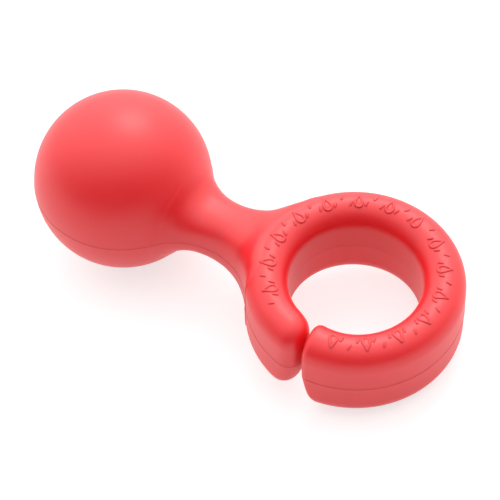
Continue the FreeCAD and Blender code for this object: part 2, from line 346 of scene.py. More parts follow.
def rounded_cut(solid: Array, beyond: Array, radius: Array | float) -> Array:
    """Cut a distance field with a plane and round the edge that this leaves.

    Args:
        solid: Distances to the solid's surface.
        beyond: Distances past the cutting plane.
        radius: Radius of the rounded edge.

    Returns:
        Distances to the cut solid's surface.
    """
    a, b = solid + radius, beyond + radius
    outside = np.hypot(np.maximum(a, 0), np.maximum(b, 0))
    return np.minimum(np.maximum(a, b), 0) + outside - radius


@dataclass(frozen=True)
class NeckProfile:
    """The neck's half width, half height and squareness at each station along X.

    From above, each side is one hollow arc that touches the ball's circle and the ring's, and
    runs on a little past the ring's wall. From the side, the top is an arc that touches the
    ball, and from its lowest point a parabola rises to the ring's crest. The section is round at
    the ball and grows squarer towards the ring, a little all the way and mostly at the end.
    """

    ball: float
    ring: float
    ring_middle: float
    distance: float
    waist: float = 5.6 * MM
    low: float = 5.6 * MM
    high: float = 8.8 * MM
    flare: float = 7.0 * MM
    overrun: float = 1.1 * MM
    ball_power: float = 2.0
    ring_power: float = 6.0
    even_rise: float = 1.2
    lateness: int = 7

    def side_arc(self) -> Point:
        """Find the arc that both sides follow in plan.

        Returns:
            The arc centre's x, its distance from the axis, and the arc's radius.
        """
        ball_term = self.ball**2 - self.waist**2
        ring_term = self.ring**2 - self.waist**2
        slope = (self.ball - self.waist) / (self.ring - self.waist) - 1
        offset = ball_term - ring_term * (1 + slope) - self.distance**2
        x = offset / (self.distance + math.sqrt(self.distance**2 - slope * offset))
        radius = (x**2 - ring_term) / (2 * (self.ring - self.waist))
        return x, self.waist + radius, radius

    def ends(self) -> tuple[float, float]:
        """Find where the side arc ends.

        Returns:
            The x at which it touches the ball, and the x at which it touches the ring.
        """
        x, _, radius = self.side_arc()
        ball_x = -self.distance + (x + self.distance) * self.ball / (self.ball + radius)
        return ball_x, x * self.ring / (self.ring + radius)

    def half_width(self, x: Array) -> Array:
        """Work out the plan.

        Args:
            x: Stations along the neck.

        Returns:
            Half the neck's width at each.
        """
        arc_x, arc_y, radius = self.side_arc()
        first, last = self.ends()
        inside = np.clip(x, first, last + self.overrun)
        return arc_y - np.sqrt(radius**2 - (inside - arc_x) ** 2)

    def half_height(self, x: Array) -> Array:
        """Work out the side view.

        Args:
            x: Stations along the neck.

        Returns:
            Half the neck's height at each.
        """
        arc_z = self.low + self.flare
        reach = self.ball + self.flare
        arc_x = -self.distance + math.sqrt(reach**2 - arc_z**2)
        touch_x = -self.distance + (arc_x + self.distance) * self.ball / reach
        inside = np.clip(x, touch_x, arc_x)
        hollow = arc_z - np.sqrt(self.flare**2 - (inside - arc_x) ** 2)
        rise = np.clip((x - arc_x) / (-self.ring_middle - arc_x), 0, 1)
        return np.where(x < arc_x, hollow, self.low + (self.high - self.low) * rise**2)

    def power(self, x: Array) -> Array:
        """Work out how square the section is.

        Args:
            x: Stations along the neck.

        Returns:
            The squareness at each, where 2 is an ellipse.
        """
        first, last = self.ends()
        share = np.clip((x - first) / (last - first), 0, 1)
        late_rise = self.ring_power - self.ball_power - self.even_rise
        return self.ball_power + self.even_rise * share + late_rise * share**self.lateness


@dataclass(frozen=True)
class JawTip:
    """The shape of the ring's wall beside its mouth.

    `round` is the radius of the tip's edge, `lean` is how far its foot stands back from the
    mouth, and `lobe` is how far it stands out into the bore, fading over `spread` degrees.
    """

    round: float
    lean: float
    lobe: float
    spread: float

    def swell(self, angle: Array) -> Array:
        """Half of how far the lobe stands out at an angle from the slit."""
        return self.lobe / 2 * np.exp(-((angle / math.radians(self.spread)) ** 2))


@dataclass(frozen=True)
class CoverForm:
    """The outside of the cover as a distance field, and its mould line.

    `neck_root` is a share of the ball's radius. The lean of the jaws' feet and `proud_fade`, over
    which the neck stands proud of the ring, are in shares of the half height. The other fades are
    in half walls outwards from the ring's middle line, but for the flank's, which is in metres.
    """

    ball_x: float
    ball_radius: float
    ring_middle: float
    half_wall: float
    half_height: float
    half_gap: float
    slit_x: float = -0.5 * MM
    slit_y: float = -14.8 * MM
    slit_slant: float = math.radians(7.3)
    short_tip: JawTip = JawTip(round=4.2 * MM, lean=2.6 * MM, lobe=0.9 * MM, spread=12)
    long_tip: JawTip = JawTip(round=1.5 * MM, lean=2.8 * MM, lobe=0.5 * MM, spread=20)
    foot_start: float = 0.18
    foot_growth: float = 1.2
    neck_root: float = 0.6
    ball_fillet: float = 0.7 * MM
    crest_fillet: float = 3.0 * MM
    crest_fade: Span = (0.1, 0.8)
    flank_fillet: float = 0.3 * MM
    flank_start: float = 9.4 * MM
    flank_fade: Span = (-3.5 * MM, 2.5 * MM)
    proud: float = 0.35 * MM
    proud_fade: Span = (0.6, 0.85)
    edge_round: float = 0.06 * MM
    edge_reach: float = 0.22 * MM
    lip: float = 0.08 * MM
    lip_reach: float = 1.0 * MM
    bore_lip: float = 0.3
    bore_fade: Span = (-0.6, 0.4)
    normal_step: float = 0.06 * MM
    settle_step: float = 0.02 * MM
    furthest_step: float = 0.25 * MM
    settle_rounds: int = 8
    least_square: float = 0.1

    @classmethod
    def from_frame(cls) -> "CoverForm":
        """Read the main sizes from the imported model's pieces.

        Returns:
            The form.
        """
        ball_low, ball_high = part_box("ball_lower")
        jaw_low, jaw_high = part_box("ring_jaw_upper")
        grip = next(m for m in frame["record"]["mounts"] if m["name"] == "shaft_grip")
        bore = grip["dims"]["r_mm"] * MM
        wall = jaw_high.x - bore
        radius = (ball_high.y - ball_low.y) / 2
        return cls(
            ball_x=ball_low.x + radius,
            ball_radius=radius,
            ring_middle=bore + wall / 2,
            half_wall=wall / 2,
            half_height=jaw_high.z,
            half_gap=jaw_low.x,
        )

    @property
    def neck(self) -> NeckProfile:
        """The neck that joins the ball and the ring."""
        return NeckProfile(
            ball=self.ball_radius,
            ring=self.ring_middle + self.half_wall,
            ring_middle=self.ring_middle,
            distance=-self.ball_x,
        )

    def ball_distance(self, p: Array) -> Array:
        """Distance to the ball."""
        centre = np.array((self.ball_x, 0, 0))
        return np.linalg.norm(p - centre, axis=-1) - self.ball_radius

    def ring_distance(self, p: Array) -> Array:
        """Measure to the split ring, whose wall thickens inwards at the two jaw tips.

        Args:
            p: The points.

        Returns:
            The distances.
        """
        x, y, z = p[..., 0], p[..., 1], p[..., 2]
        turn = self.slit_slant
        from_slit = (x - self.slit_x) * math.cos(turn) + (y - self.slit_y) * math.sin(turn)
        long_side = from_slit > 0
        tips = (self.long_tip, self.short_tip)
        angle = np.arctan2(np.abs(from_slit), -y)
        section = self.tube_distance(p, np.where(long_side, *(tip.swell(angle) for tip in tips)))
        foot = np.clip(self.foot_start - z / (self.foot_growth * self.half_height), 0, 1) ** 2
        lean = np.where(long_side, *(tip.lean for tip in tips)) * foot
        into_mouth = np.minimum(self.half_gap + lean - np.abs(from_slit), -y)
        return rounded_cut(section, into_mouth, np.where(long_side, *(tip.round for tip in tips)))

    def neck_distance(self, p: Array) -> Array:
        """Measure to the neck, outwards from its axis.

        Args:
            p: The points.

        Returns:
            The distances.
        """
        neck = self.neck
        x, y, z = p[..., 0], np.abs(p[..., 1]), np.abs(p[..., 2])
        power = neck.power(x)
        scale = (y / neck.half_width(x)) ** power + (z / neck.half_height(x)) ** power
        scale = np.maximum(scale, TINY) ** (1 / power)
        side = np.hypot(y, z) * (1 - 1 / scale)
        in_ball = self.ball_x + self.neck_root * self.ball_radius
        past_flank = x - neck.ends()[1] - neck.overrun
        past_crest = np.maximum(self.ring_middle - np.hypot(x, y), y - self.flank_start)
        past_crest = np.maximum(past_crest, x + self.half_wall)
        fade = (share * self.half_height for share in self.proud_fade)
        proud = self.proud * (1 - smoothstep(p[..., 2], *fade))
        melted = self.tube_distance(p) - proud - np.minimum(past_flank, 0) ** 2 / self.half_wall
        side = np.maximum(side, melted)
        return np.maximum(side, np.maximum(in_ball - x, np.minimum(past_flank, past_crest)))

    def tube_distance(self, p: Array, swell: Array | float = 0) -> Array:
        """Measure to the ring as if it had no mouth.

        Args:
            p: The points.
            swell: Half of how much the wall is thickened inwards.

        Returns:
            The distances.
        """
        across = np.hypot(p[..., 0], p[..., 1]) - self.ring_middle + swell
        above = np.maximum(np.abs(p[..., 2]) - (self.half_height - self.half_wall), 0)
        return np.hypot(across, above) - self.half_wall - swell

    def distance(self, p: Array) -> Array:
        """Measure to the smooth outside of the cover, without its mould line.

        Args:
            p: The points.

        Returns:
            The distances, which are negative inside.
        """
        body = smooth_union(self.ball_distance(p), self.neck_distance(p), self.ball_fillet)
        flank = smoothstep(np.abs(p[..., 1]), *(self.flank_start + way for way in self.flank_fade))
        crest = self.crest_fillet * self.outwards(p, self.crest_fade)
        fillet = np.maximum(crest * (1 - flank), self.flank_fillet)
        return smooth_union(body, self.ring_distance(p), fillet)

    def outwards(self, p: Array, fade: Span) -> Array:
        """Rise from 0 to 1 across the ring's wall, between the two ends of a fade."""
        out = np.hypot(p[..., 0], p[..., 1]) - self.ring_middle
        return smoothstep(out, *(share * self.half_wall for share in fade))

    def gradient(self, p: Array, step: float) -> Array:
        """Slope of the distance at each point, over twice `step`."""
        pairs = ((self.distance(p + one), self.distance(p - one)) for one in step * np.eye(3))
        return np.stack([(after - before) / (2 * step) for after, before in pairs], axis=-1)

    def normals(self, p: Array) -> Array:
        """Outward unit normals of the smooth surface."""
        slope = self.gradient(p, self.normal_step)
        return slope / np.linalg.norm(slope, axis=-1, keepdims=True)

    def settle(self, p: Array, free: Array | float = 1) -> Array:
        """Move points onto the smooth surface.

        Args:
            p: The points.
            free: 1 for each axis that a point may move along and 0 for the others.

        Returns:
            The points on the surface.
        """
        for _ in range(self.settle_rounds):
            slope = self.gradient(p, self.settle_step) * free
            square = np.maximum((slope**2).sum(-1, keepdims=True), self.least_square)
            step = self.distance(p)[..., None] * slope / square
            p = p - np.clip(step, -self.furthest_step, self.furthest_step)
        return p

    def mould_line(self, height: Array, half: Half) -> tuple[Array, Array]:
        """How far one half stands out near the parting plane.

        Args:
            height: Distance from the parting plane.
            half: The half of the cover. The lower one stands proud, with a rounded edge.

        Returns:
            The distance that the surface stands out, and its slope with height.
        """
        if half is Half.UPPER:
            return np.zeros_like(height), np.zeros_like(height)
        near = np.clip(1 - height / self.edge_reach, 0, 1)
        lip = self.lip * np.exp(-height / self.lip_reach)
        out = lip - self.edge_round * near**2
        slope = 2 * self.edge_round * near / self.edge_reach - lip / self.lip_reach
        return out, slope

    def lip_share(self, p: Array) -> Array:
        """How much of the mould line each point has: it is faint inside the bore."""
        return self.bore_lip + (1 - self.bore_lip) * self.outwards(p, self.bore_fade)


# Meshes


def spaced(stops: list[float], step: float, fine: int | None = None) -> Array:
    """Fill the gaps between stops with evenly spaced numbers.

    Args:
        stops: Numbers to pass through, in order.
        step: About how far apart the numbers are.
        fine: The gap, counted from 0, whose numbers are half as far apart.

    Returns:
        The numbers, with the stops among them.
    """
    values = [np.array(stops[:1])]
    for i, (first, last) in enumerate(zip(stops, stops[1:])):
        count = max(1, round((last - first) / (step / 2 if i == fine else step)))
        values.append(np.linspace(first, last, count + 1)[1:])
    return np.concatenate(values)


@dataclass
class SkinMesh:
    """Vertices and four-sided faces of the whole skin, with layers held in the cutting planes."""

    form: CoverForm
    layers: tuple[Array, Array, Array]
    held: tuple[list[float], list[float], list[float]]
    same_spot: float = 0.001 * MM
    points: Array = field(init=False)
    quads: Array = field(init=False)
    free: Array = field(init=False)

    def __post_init__(self) -> None:
        """Mesh the form: one vertex in each cell that the surface crosses."""
        lines = [self.between(layer) for layer in self.layers]
        grid = np.stack(np.meshgrid(*lines, indexing="ij"), axis=-1)
        distance = self.form.distance(grid)
        inside = distance < 0
        counts = tuple(n - 1 for n in inside.shape)
        corners = [(i, j, k) for i in (0, 1) for j in (0, 1) for k in (0, 1)]
        total = sum(
            inside[tuple(slice(c, c + n) for c, n in zip(corner, counts))].astype(int)
            for corner in corners
        )
        cells = np.argwhere((total > 0) & (total < len(corners)))
        number = np.full(counts, -1)
        number[tuple(cells.T)] = np.arange(len(cells))
        self.points = self.crossings(cells, grid, distance, corners)
        self.hold(cells)
        self.points = self.form.settle(self.points, self.free)
        self.quads = self.faces(inside, number)
        self.merge()

    @staticmethod
    def between(layer: Array) -> Array:
        """Grid lines midway between the layers, with one more beyond each end."""
        inner = (layer[1:] + layer[:-1]) / 2
        return np.concatenate(([2 * layer[0] - inner[0]], inner, [2 * layer[-1] - inner[-1]]))

    @staticmethod
    def crossings(cells: Array, grid: Array, distance: Array, corners: list[tuple]) -> Array:
        """Average the places where the surface crosses each cell's edges.

        Args:
            cells: The cells' places in the grid.
            grid: The grid's points.
            distance: Distances at the grid's points.
            corners: The steps from a cell's place to its corners.

        Returns:
            One point for each cell.
        """
        total = np.zeros((len(cells), 3))
        count = np.zeros((len(cells), 1))
        for corner in corners:
            for axis in range(3):
                if corner[axis]:
                    continue
                other = list(corner)
                other[axis] = 1
                a, b = tuple((cells + corner).T), tuple((cells + other).T)
                start, stop = distance[a][:, None], distance[b][:, None]
                crossed = (start < 0) != (stop < 0)
                share = np.where(crossed, start / np.where(crossed, start - stop, 1), 0)
                total += np.where(crossed, grid[a] + share * (grid[b] - grid[a]), 0)
                count += crossed
        return total / count

    def hold(self, cells: Array) -> None:
        """Put the vertices of the held layers into their planes, and note how each may move.

        Args:
            cells: The cell of each vertex.
        """
        self.free = np.ones((len(cells), 3))
        for axis, values in enumerate(self.held):
            layer = self.layers[axis][cells[:, axis]]
            for value in values:
                there = np.abs(layer - value) < TINY
                self.points[there, axis] = value
                self.free[there, axis] = 0

    def merge(self) -> None:
        """Make one vertex of those that have settled on the same spot."""
        spot = np.round(self.points / self.same_spot)
        _, first, same = np.unique(spot, axis=0, return_index=True, return_inverse=True)
        self.points, self.free = self.points[first], self.free[first]
        self.quads = same.reshape(-1)[self.quads]

    @staticmethod
    def faces(inside: Array, number: Array) -> Array:
        """Make a face for each grid edge that the surface crosses, facing outwards.

        Args:
            inside: Whether each point of the grid is inside the form.
            number: The vertex of each cell.

        Returns:
            The four vertices of each face.
        """
        quads = []
        for axis in range(3):
            b, c = (axis + 1) % 3, (axis + 2) % 3
            low = np.take(inside, range(inside.shape[axis] - 1), axis)
            high = np.take(inside, range(1, inside.shape[axis]), axis)
            for outward in (True, False):
                at = np.argwhere((low & ~high) if outward else (~low & high))
                ring = []
                for shift_b, shift_c in ((1, 1), (0, 1), (0, 0), (1, 0)):
                    cell = at.copy()
                    cell[:, b] -= shift_b
                    cell[:, c] -= shift_c
                    ring.append(number[tuple(cell.T)])
                quads.append(np.stack(ring if outward else ring[::-1], axis=-1))
        return np.concatenate(quads)


def sweep(bm: BMesh, rings: list[list[BMVert]], closed: bool) -> None:
    """Join rings of vertices into a bar.

    Args:
        bm: The bmesh that holds them.
        rings: The rings, in order, all with as many vertices.
        closed: Whether the last ring joins the first. If not, each end gets a face.
    """
    for this, after in zip(rings, rings[1:] + rings[:1] if closed else rings[1:]):
        for i, vert in enumerate(this):
            j = (i + 1) % len(this)
            bm.faces.new((vert, this[j], after[j], after[i]))
    if not closed:
        bm.faces.new(rings[0])
        bm.faces.new(rings[-1][::-1])


def finish_object(name: str, bm: BMesh, material: Material, crease: float | None = None) -> Object:
    """Turn a bmesh into a smooth object and free it.

    Args:
        name: The piece's name.
        bm: Its bmesh.
        material: Its finish.
        crease: The angle in degrees past which its edges stay sharp.

    Returns:
        The object, in the scene.
    """
    mesh = bpy.data.meshes.new(name)
    bm.to_mesh(mesh)
    bm.free()
    mesh.polygons.foreach_set("use_smooth", [True] * len(mesh.polygons))
    if crease is not None:
        mesh.set_sharp_from_angle(angle=math.radians(crease))
    mesh.materials.append(material)
    thing = bpy.data.objects.new(name, mesh)
    bpy.context.scene.collection.objects.link(thing)
    return thing


# Pieces


@dataclass(frozen=True)
class Bend:
    """Two bodies, and the stretch of the joint between the first and the second."""

    first: str
    second: str
    start: Point
    end: Point

    def apply(self, piece: Object) -> None:
        """Bake a finished piece's placement into its mesh; it is not blended across the joint."""
        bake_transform(piece)


class Region(Enum):
    """The stretches of the cover that are pieces of their own, with what each replaces."""

    BALL = ("ball", ("neck_link", "neck_bend", "ball"))
    SWAY = ("neck", ("neck_sway",))
    BACK = ("ring_back", ("ring_base", "ring_back_bend"))
    FRONT = ("ring_front", ("ring_arm", "ring_front_bend", "ring_jaw"))

    def __init__(self, title: str, nodes: tuple[str, ...]) -> None:
        """Keep the stretch's name and the nodes that it replaces."""
        self.title = title
        self.nodes = nodes


@dataclass(frozen=True)
class Planes:
    """Where the cover and what it holds are divided, and the joint stretch of each piece.

    The ring is divided at the x of `arm`, beyond the bore, and its two bends run between
    angles in degrees from +X.
    """

    root: float
    sway_end: float
    link: float
    bend_start: float
    bend_end: float
    radius: float
    arm: float = 5.25 * MM
    back_turn: Span = (125, 95)
    front_turn: Span = (50, 20)

    @classmethod
    def from_frame(cls, form: CoverForm) -> "Planes":
        """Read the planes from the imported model's pieces.

        Args:
            form: The cover's form.

        Returns:
            The planes.
        """
        sway_low, sway_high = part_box("neck_sway_upper")
        bend_low, bend_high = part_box("neck_bend_upper")
        return cls(
            root=sway_high.x,
            sway_end=sway_low.x,
            link=(sway_low.x + bend_high.x) / 2,
            bend_start=bend_high.x,
            bend_end=bend_low.x,
            radius=form.ring_middle,
        )

    @property
    def cuts(self) -> list[float]:
        """The x of every plane that divides the skin."""
        return [self.link, self.root, self.arm]

    @property
    def arm_angle(self) -> float:
        """The angle at which the ring's middle line crosses its dividing plane, in degrees."""
        return math.degrees(math.acos(self.arm / self.radius))

    def at(self, degrees: float) -> Point:
        """The point of the ring's middle line at an angle from +X."""
        turn = math.radians(degrees)
        return self.radius * math.cos(turn), self.radius * math.sin(turn), 0.0

    @property
    def bends(self) -> dict[Region, Bend]:
        """The bend of each region: two along the neck, one behind the bore and one beyond it."""
        return {
            Region.BALL: Bend("link", "ball", (self.bend_start, 0, 0), (self.bend_end, 0, 0)),
            Region.SWAY: Bend("grip", "link", (self.root, 0, 0), (self.sway_end, 0, 0)),
            Region.BACK: Bend("grip", "arm", *map(self.at, self.back_turn)),
            Region.FRONT: Bend("arm", "jaw", *map(self.at, self.front_turn)),
        }


@dataclass
class Cover:
    """The silicone cover: an upper and a lower half, each meshed as four pieces.

    The mesh is finer next to the parting plane, at the heights of `seam`, and within `mouth` of
    the ring's middle.
    """

    form: CoverForm
    planes: Planes
    material: Material
    step: float = 0.5 * MM
    mouth: float = 4.2 * MM
    seam: tuple[float, ...] = tuple(h * MM for h in (0, 0.06, 0.12, 0.22, 0.36, 0.56, 0.9))
    skin: SkinMesh = field(init=False)

    def __post_init__(self) -> None:
        """Mesh the whole skin once."""
        form, step = self.form, self.step
        link, root, arm = self.planes.cuts
        top = form.ball_radius + step
        ring = form.ring_middle + form.half_wall
        stops = [form.ball_x - top, link, root, -self.mouth, self.mouth, arm, ring + step]
        along = spaced(stops, step, fine=stops.index(-self.mouth))
        across = spaced([-ring - step / 2, ring + step / 2], step)
        upper = np.concatenate((self.seam, spaced([self.seam[-1], top], step)[1:]))
        heights = np.concatenate((-upper[:0:-1], upper))
        flat = [sign * height for height in self.seam for sign in (1, -1)]
        self.skin = SkinMesh(form, (along, across, heights), (self.planes.cuts, [], flat))
        log.info("skin: %d vertices, %d faces", len(self.skin.points), len(self.skin.quads))

    def build(self) -> list[Object]:
        """Make every piece of the cover, and hide the imported parts that it replaces.

        Returns:
            The pieces.
        """
        pieces = []
        for half in Half:
            shaped = self.shape_half(half)
            for region, bend in self.planes.bends.items():
                piece = self.piece(half, region, *shaped)
                bend.apply(piece)
                side = half.name.lower()
                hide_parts(*(f"{node}_{side}" for node in region.nodes))
                pieces.append(piece)
        return pieces

    def shape_half(self, half: Half) -> tuple[Array, Array]:
        """Shape one half's edge at the mould line.

        Args:
            half: The half of the cover.

        Returns:
            The vertices and their normals.
        """
        skin = self.skin
        height = half.value * skin.points[:, 2]
        share = np.where(height > -TINY, self.form.lip_share(skin.points), 0)
        out, slope = (share * part for part in self.form.mould_line(height, half))
        normals = self.form.normals(skin.points)
        points = skin.points + normals * out[:, None] * skin.free
        normals[:, 2] -= half.value * slope
        return points, normals / np.linalg.norm(normals, axis=-1, keepdims=True)

    def within(self, region: Region, x: Array, y: Array) -> Array:
        """Whether each point of the plan lies in a region.

        Args:
            region: The stretch of the cover.
            x: The points' x.
            y: The points' y.

        Returns:
            True for each point inside.
        """
        form, planes = self.form, self.planes
        past_slit = x > form.slit_x - (y - form.slit_y) * math.tan(form.slit_slant)
        front = np.where(y > 0, x > planes.arm, past_slit)
        ring = x >= planes.root
        regions = {
            Region.BALL: x < planes.link,
            Region.SWAY: (x >= planes.link) & ~ring,
            Region.BACK: ring & ~front,
            Region.FRONT: ring & front,
        }
        return regions[region]

    def piece(self, half: Half, region: Region, points: Array, normals: Array) -> Object:
        """Make one closed piece.

        Args:
            half: The half of the cover.
            region: The stretch of the cover.
            points: All the half's vertices.
            normals: Their normals.

        Returns:
            The piece's object.
        """
        x, y, z = self.skin.points[self.skin.quads].mean(axis=1).T
        mine = self.within(region, x, y) & (half.value * z > 0)
        used, quads = np.unique(self.skin.quads[mine], return_inverse=True)
        rings = [list(dict.fromkeys(quad)) for quad in quads.reshape(-1, 4).tolist()]
        rings = [ring for ring in rings if len(ring) > 2]
        bm = bmesh.new()
        verts = [bm.verts.new(point) for point in points[used]]
        for ring in rings:
            bm.faces.new([verts[i] for i in ring])
        self.close(bm)
        bmesh.ops.recalc_face_normals(bm, faces=bm.faces)
        if bm.calc_volume(signed=True) < 0:
            bmesh.ops.reverse_faces(bm, faces=bm.faces)
        piece = finish_object(f"{region.title}_{half.name.lower()}_cover", bm, self.material)
        self.shade(piece.data, normals[used], len(rings))
        return piece

    def close(self, bm: BMesh) -> None:
        """Fill a piece's open sides with flat faces, in each cutting plane and the parting plane.

        Args:
            bm: The piece's bmesh.
        """
        rim = [edge for edge in bm.edges if edge.is_boundary]
        corners = {vert for edge in rim for vert in edge.verts if abs(vert.co.z) < TINY}
        corners = [vert for vert in corners if self.climbs(vert)]
        bridges = []
        for cut in self.planes.cuts:
            there = [vert for vert in corners if abs(vert.co.x - cut) < TINY]
            pair = [vert for vert in there if cut < 0 or vert.co.y > 0]
            if len(pair) == 2:
                bridges.append(bm.edges.new(pair))
                side = [edge for edge in rim if all(abs(v.co.x - cut) < TINY for v in edge.verts)]
                bmesh.ops.triangle_fill(bm, edges=side + bridges[-1:], use_beauty=True)
        flat = [edge for edge in rim if all(abs(v.co.z) < TINY for v in edge.verts)]
        bmesh.ops.triangle_fill(bm, edges=flat + bridges, use_beauty=True)

    @staticmethod
    def climbs(vert: BMVert) -> bool:
        """Whether the open rim leaves the parting plane at a vertex of that plane."""
        open_edges = (edge for edge in vert.link_edges if edge.is_boundary)
        return any(abs(edge.other_vert(vert).co.z) > TINY for edge in open_edges)

    @staticmethod
    def shade(mesh: Mesh, normals: Array, curved: int) -> None:
        """Give a piece the smooth form's own normals, and leave the faces that close it flat.

        Args:
            mesh: The piece's mesh.
            normals: A normal for each vertex.
            curved: How many of the faces, which come first, are on the cover's surface.
        """
        spot = np.empty(len(mesh.loops), int)
        mesh.loops.foreach_get("vertex_index", spot)
        split = normals[spot]
        for face in mesh.polygons[curved:]:
            split[list(face.loop_indices)] = face.normal
        mesh.normals_split_custom_set(split.tolist())


class Motif(Enum):
    """The raised figures on the ring's crest."""

    DROP = "raindrop"
    OUTER_STREAK = "rain streak on the crest's outer side"
    INNER_STREAK = "rain streak on the crest's inner side"


@dataclass(frozen=True)
class Relief:
    """Rain that stands out of the ring's crest: raindrops with streaks between them.

    Angles are degrees from +X. The ridge's section is given from its foot to its top, in half
    widths and heights of the ridge. `drop_gap` is how many radians of a raindrop's outline are
    left out on each side of its point.
    """

    form: CoverForm
    planes: Planes
    material: Material
    first: float = 238
    last: float = -73
    pitch: float = 5.4
    order: tuple[Motif, ...] = (
        Motif.OUTER_STREAK, Motif.INNER_STREAK, Motif.DROP, Motif.INNER_STREAK
    )
    drop_width: float = 1.2 * MM
    drop_length: float = 1.5 * MM
    drop_gap: float = 0.3
    drop_points: int = 24
    streak_side: float = 0.75 * MM
    streak_lean: float = 0.25 * MM
    streak_reach: float = 0.6 * MM
    streak_points: int = 6
    streak_taper: float = 0.55
    half_width: float = 0.33 * MM
    height: float = 0.2 * MM
    section: tuple[Span, ...] = ((-1.1, -0.5), (-0.8, 0.4), (-0.4, 0.85), (0, 1))
    crease: float = 70

    def line(self, motif: Motif) -> Array:
        """Draw a figure's line.

        Args:
            motif: The figure.

        Returns:
            How far along the crest and how far outwards each point lies.
        """
        if motif is Motif.DROP:
            turn = np.linspace(self.drop_gap, 2 * math.pi - self.drop_gap, self.drop_points)
            across = self.drop_width * np.sin(turn) * np.sin(turn / 2) ** 2
            return np.stack((across, self.drop_length * np.cos(turn)), axis=1)
        side = self.streak_side if motif is Motif.OUTER_STREAK else -self.streak_side
        run = np.linspace(-1, 1, self.streak_points)
        return np.stack((self.streak_lean * run, side + self.streak_reach * run), axis=1)

    def on_crest(self, line: Array, angle: float) -> Array:
        """Lay a figure's line on the crest.

        Args:
            line: The figure's points.
            angle: Where its middle lies.

        Returns:
            Points on the cover's surface.
        """
        radius = self.form.ring_middle
        turn = math.radians(angle) - line[:, 0] / radius
        out = radius + line[:, 1]
        top = np.full(len(line), self.form.half_height)
        above = np.stack((out * np.cos(turn), out * np.sin(turn), top), axis=1)
        return self.form.settle(above, np.array((0, 0, 1)))

    def add(self, bm: BMesh, motif: Motif, angle: float) -> None:
        """Sweep a low rounded ridge along one figure's line.

        Args:
            bm: The piece's bmesh.
            motif: The figure.
            angle: Where its middle lies.
        """
        path = self.on_crest(self.line(motif), angle)
        up = self.form.normals(path)
        before, after = np.roll(path, 1, axis=0), np.roll(path, -1, axis=0)
        taper = np.ones(len(path))
        closed = motif is Motif.DROP
        if not closed:
            before[0], after[-1] = path[0], path[-1]
            taper[0] = taper[-1] = self.streak_taper
        side = np.cross(after - before, up)
        side /= np.linalg.norm(side, axis=1, keepdims=True)
        section = self.section + tuple((-a, level) for a, level in self.section[-2::-1])
        across, above = self.half_width * taper[:, None] * side, self.height * taper[:, None] * up
        rings = [
            [bm.verts.new(point + a * wide + level * high) for a, level in section]
            for point, wide, high in zip(path, across, above)
        ]
        sweep(bm, rings, closed)

    def build(self) -> list[Object]:
        """Make both stretches of the relief.

        Returns:
            The pieces.
        """
        split = self.planes.arm_angle
        count = round((self.first - self.last) / self.pitch)
        angles = [self.first - (self.first - self.last) * i / count for i in range(count + 1)]
        stretches = {
            "back": (Region.BACK, split, self.first),
            "front": (Region.FRONT, self.last, split),
        }
        pieces = []
        for name, (region, low, high) in stretches.items():
            bm = bmesh.new()
            for i, angle in enumerate(angles):
                if low <= angle <= high and abs(angle - split) > self.pitch / 2:
                    self.add(bm, self.order[i % len(self.order)], angle)
            bmesh.ops.recalc_face_normals(bm, faces=bm.faces)
            piece = finish_object(f"rain_relief_{name}", bm, self.material, self.crease)
            self.planes.bends[region].apply(piece)
            pieces.append(piece)
        return pieces


@dataclass(frozen=True)
class Ballast:
    """The steel ball inside the cover's ball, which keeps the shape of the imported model."""

    material: Material
    node: str = "ballast"

    def build(self) -> list[Object]:
        """Dress the ballast in its steel.

        Returns:
            The piece.
        """
        ballast = frame["nodes"][self.node]
        ballast.data.materials.clear()
        ballast.data.materials.append(self.material)
        return [ballast]


